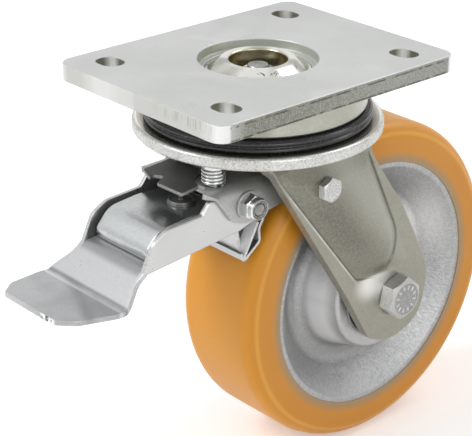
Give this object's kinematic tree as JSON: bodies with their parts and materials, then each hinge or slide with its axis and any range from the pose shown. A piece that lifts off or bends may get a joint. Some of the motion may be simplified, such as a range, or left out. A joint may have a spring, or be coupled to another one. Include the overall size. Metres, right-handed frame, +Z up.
{
  "type": "swivel castor with brake",
  "caption": "Heavy swivel castor: slotted top plate, ball swivel head, steel fork, amber polyurethane wheel on a cast hub, and a foot pedal that presses a brake shoe on the tread.",
  "frame": {"origin": "centre of the top plate's upper face, on the swivel axis", "axes": "+Z up, square to the plate; +X along the wheel axle, towards the axle bolt's head; -Y towards the foot pedal, +Y towards the trailing wheel"},
  "size_m": [0.113, 0.2612, 0.2],
  "materials": {
    "plated_steel": "bright zinc plate, satin, faint warm tint",
    "kingpin_steel": "turned and plated, bore wall brassy in tone",
    "pedal_steel": "bright zinc plate, cool grey",
    "dark_steel": "dark grey coating, low sheen",
    "bright_fasteners": "bright plated",
    "nut_nylon": "plain nylon",
    "bearing_steel": "ground steel",
    "seal_rubber": "glossy black rubber",
    "hub_cast": "as cast, silver grey, grainy",
    "tread_urethane": "amber polyurethane, satin, slightly translucent"
  },
  "bodies": {
    "plate": {"top_plate": "plated_steel", "upper_race": "plated_steel", "kingpin": "kingpin_steel", "kingpin_cup": "plated_steel", "kingpin_bolt": "bright_fasteners", "kingpin_nut": "bright_fasteners"},
    "main_ball_row": {"main_balls": "bearing_steel"},
    "small_ball_row": {"small_balls": "bearing_steel"},
    "fork_head": {"crown": "plated_steel", "seal_ring": "seal_rubber", "fork": "plated_steel", "axle_tube": "bearing_steel", "axle_bolt": "bright_fasteners", "axle_nut": "bright_fasteners", "bearing_spacer_middle": "bearing_steel", "bearing_spacer_right": "bearing_steel", "bearing_spacer_left": "bearing_steel", "bearing_inner_right": "bearing_steel", "bearing_inner_left": "bearing_steel", "brake_saddle": "plated_steel", "cross_bolt": "bright_fasteners", "cross_nut": "bright_fasteners", "cross_nut_ring": "nut_nylon", "cross_spacers": "plated_steel", "pivot_bolt": "bright_fasteners", "pivot_nut": "bright_fasteners", "pivot_nut_ring": "nut_nylon", "pivot_washers": "bright_fasteners", "pivot_sleeve": "bearing_steel", "adjuster_bolt": "bright_fasteners", "adjuster_boss": "bright_fasteners", "adjuster_spring": "bright_fasteners", "lock_pin": "dark_steel"},
    "wheel": {"wheel_hub": "hub_cast", "wheel_tread": "tread_urethane", "bearing_outer_right": "bearing_steel", "bearing_outer_left": "bearing_steel", "dust_cover_right": "bearing_steel", "dust_cover_left": "bearing_steel"},
    "wheel_ball_rows": {"bearing_balls_right": "bearing_steel", "bearing_balls_left": "bearing_steel"},
    "brake_pedal": {"pedal": "pedal_steel"},
    "lever": {"release_lever": "pedal_steel", "push_pin": "dark_steel"},
    "lock": {"lock_plate": "dark_steel"},
    "shoe": {"brake_shoe": "pedal_steel", "shoe_plate": "pedal_steel", "shoe_hangers": "pedal_steel"}
  },
  "joints": [
    {"name": "swivel", "type": "hinge", "parent": "plate", "child": "fork_head", "pos_m": [0, 0, -0.0244], "axis": [0, 0, 1], "continuous": true},
    {"name": "main_ball_roll", "type": "hinge", "parent": "plate", "child": "main_ball_row", "pos_m": [0, 0, -0.0244], "axis": [0, 0, 1], "continuous": true},
    {"name": "small_ball_roll", "type": "hinge", "parent": "plate", "child": "small_ball_row", "pos_m": [0, 0, -0.0344], "axis": [0, 0, 1], "continuous": true},
    {"name": "wheel_spin", "type": "hinge", "parent": "fork_head", "child": "wheel", "pos_m": [0, 0.053, -0.12], "axis": [1, 0, 0], "continuous": true},
    {"name": "wheel_ball_roll", "type": "hinge", "parent": "fork_head", "child": "wheel_ball_rows", "pos_m": [0, 0.053, -0.12], "axis": [1, 0, 0], "continuous": true},
    {"name": "pedal_hinge", "type": "hinge", "parent": "fork_head", "child": "brake_pedal", "pos_m": [0, -0.0285, -0.0546], "axis": [1, 0, 0], "range_deg": [0, 15]},
    {"name": "lever_hinge", "type": "hinge", "parent": "fork_head", "child": "lever", "pos_m": [0, -0.0285, -0.0546], "axis": [1, 0, 0], "range_deg": [-4.5, 0]},
    {"name": "shoe_hinge", "type": "hinge", "parent": "fork_head", "child": "shoe", "pos_m": [0, -0.0285, -0.0546], "axis": [1, 0, 0], "range_deg": [0, 5]},
    {"name": "lock_hinge", "type": "hinge", "parent": "fork_head", "child": "lock", "pos_m": [0, -0.034, -0.0424], "axis": [1, 0, 0], "range_deg": [-7.2, 0]}
  ],
  "couplings": [
    {"joint": "main_ball_roll", "follows": "swivel", "ratio": 0.5},
    {"joint": "small_ball_roll", "follows": "swivel", "ratio": 0.5},
    {"joint": "wheel_ball_roll", "follows": "wheel_spin", "ratio": 0.61},
    {"joint": "lever_hinge", "follows": "pedal_hinge", "ratio": -0.3},
    {"joint": "shoe_hinge", "follows": "pedal_hinge", "ratio": 0.33},
    {"joint": "lock_hinge", "follows": "pedal_hinge", "ratio": -0.48}
  ]
}
